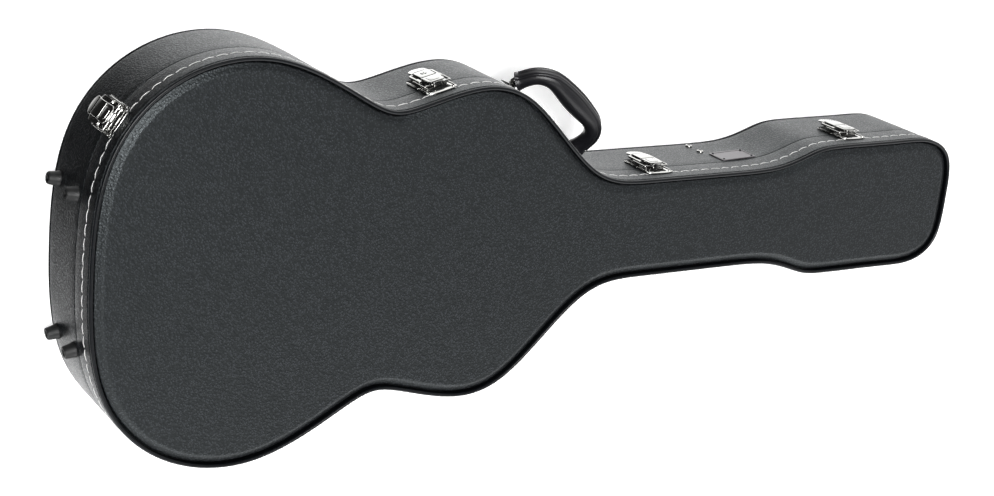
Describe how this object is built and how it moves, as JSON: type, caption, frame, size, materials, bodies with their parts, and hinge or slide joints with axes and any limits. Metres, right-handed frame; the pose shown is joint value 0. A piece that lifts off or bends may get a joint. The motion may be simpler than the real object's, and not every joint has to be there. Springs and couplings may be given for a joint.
{
  "type": "guitar case",
  "caption": "Hard-shell case shaped to a guitar, with a hinged stitched lid, drawbolt latches, a swinging side handle, butt-end feet, plush lining and an accessory compartment.",
  "frame": {"origin": "middle of the back panel on its outer face, halfway between the butt end and the head end, with the case lying on its back and the lid shut", "axes": "+X from the butt end to the head end, +Y to the side with the handle and latches, +Z from the back to the lid"},
  "size_m": [1.0889, 0.4273, 0.117],
  "materials": {
    "vinyl": "pebble-grain vinyl over plywood, satin",
    "trim": "smooth vinyl, satin",
    "plush": "short plush pile over foam",
    "moulding": "satin",
    "rubber": "matte",
    "chrome": "polished",
    "dark_metal": "satin"
  },
  "bodies": {
    "case_body": {"back_panel": "vinyl", "back_rim": "vinyl", "body_wall": "vinyl", "dust_lip": "trim", "body_floor_pad": "plush", "body_side_pad": "plush", "neck_cradle": "plush", "store_end_wall": "plush", "latch_1_base": "chrome", "latch_2_base": "chrome", "latch_3_base": "chrome", "latch_4_base": "chrome", "hinge_1_body_leaf": "chrome", "hinge_1_pin": "chrome", "hinge_2_body_leaf": "chrome", "hinge_2_pin": "chrome", "hinge_3_body_leaf": "chrome", "hinge_3_pin": "chrome", "handle_bracket_1": "chrome", "handle_bracket_2": "chrome", "foot_1": "rubber", "foot_2": "rubber", "foot_3": "rubber", "foot_4": "rubber", "blank_plate": "dark_metal", "wall_screw_1": "chrome", "wall_screw_2": "chrome"},
    "lid": {"lid_panel": "vinyl", "lid_rim": "vinyl", "lid_wall": "vinyl", "lid_top_pad": "plush", "lid_side_pad": "plush", "latch_1_keeper": "chrome", "latch_2_keeper": "chrome", "latch_3_keeper": "chrome", "latch_4_keeper": "chrome", "hinge_1_lid_leaf": "chrome", "hinge_2_lid_leaf": "chrome", "hinge_3_lid_leaf": "chrome"},
    "latch_lever_1": {"latch_1_lever": "chrome"},
    "latch_lever_2": {"latch_2_lever": "chrome"},
    "latch_lever_3": {"latch_3_lever": "chrome"},
    "latch_lever_4": {"latch_4_lever": "chrome"},
    "latch_bail_1": {"latch_1_bail": "chrome"},
    "latch_bail_2": {"latch_2_bail": "chrome"},
    "latch_bail_3": {"latch_3_bail": "chrome"},
    "latch_bail_4": {"latch_4_bail": "chrome"},
    "handle": {"handle_grip": "moulding", "handle_ring_1": "chrome", "handle_ring_2": "chrome"},
    "store_cover": {"store_lid": "plush", "store_lid_tab": "trim"}
  },
  "joints": [
    {"name": "lid_hinge", "type": "hinge", "parent": "case_body", "child": "lid", "pos_m": [-0.1144, -0.17391, 0.077], "axis": [0.9887, 0.1501, 0], "range_deg": [0, 110]},
    {"name": "store_cover_hinge", "type": "hinge", "parent": "case_body", "child": "store_cover", "pos_m": [0.0855, -0.0435, 0.0503], "axis": [1, 0, 0], "range_deg": [0, 88]},
    {"name": "handle_swing", "type": "hinge", "parent": "case_body", "child": "handle", "pos_m": [-0.01169, 0.11359, 0.048], "axis": [0.7476, -0.6641, 0], "range_deg": [-80, 4]},
    {"name": "latch_1_lift", "type": "hinge", "parent": "case_body", "child": "latch_lever_1", "pos_m": [-0.5132, 0.15038, 0.0725], "axis": [0.5674, 0.8235, 0], "range_deg": [0, 110]},
    {"name": "latch_1_hook", "type": "hinge", "parent": "latch_lever_1", "child": "latch_bail_1", "pos_m": [-0.5132, 0.15038, 0.0645], "axis": [0.5674, 0.8235, 0], "range_deg": [-110, 0]},
    {"name": "latch_2_lift", "type": "hinge", "parent": "case_body", "child": "latch_lever_2", "pos_m": [-0.17129, 0.16743, 0.0725], "axis": [0.9667, 0.2559, 0], "range_deg": [0, 110]},
    {"name": "latch_2_hook", "type": "hinge", "parent": "latch_lever_2", "child": "latch_bail_2", "pos_m": [-0.17129, 0.16743, 0.0645], "axis": [0.9667, 0.2559, 0], "range_deg": [-110, 0]},
    {"name": "latch_3_lift", "type": "hinge", "parent": "case_body", "child": "latch_lever_3", "pos_m": [0.11674, 0.0615, 0.0725], "axis": [1, 0, 0], "range_deg": [0, 110]},
    {"name": "latch_3_hook", "type": "hinge", "parent": "latch_lever_3", "child": "latch_bail_3", "pos_m": [0.11674, 0.0615, 0.0645], "axis": [1, 0, 0], "range_deg": [-110, 0]},
    {"name": "latch_4_lift", "type": "hinge", "parent": "case_body", "child": "latch_lever_4", "pos_m": [0.39295, 0.084, 0.0725], "axis": [1, 0.0005, 0], "range_deg": [0, 110]},
    {"name": "latch_4_hook", "type": "hinge", "parent": "latch_lever_4", "child": "latch_bail_4", "pos_m": [0.39295, 0.084, 0.0645], "axis": [1, 0.0005, 0], "range_deg": [-110, 0]}
  ],
  "couplings": [
    {"joint": "latch_1_hook", "follows": "latch_1_lift", "ratio": -1},
    {"joint": "latch_2_hook", "follows": "latch_2_lift", "ratio": -1},
    {"joint": "latch_3_hook", "follows": "latch_3_lift", "ratio": -1},
    {"joint": "latch_4_hook", "follows": "latch_4_lift", "ratio": -1},
    {"joint": "store_cover_hinge", "follows": "lid_hinge", "ratio": 0.8}
  ]
}
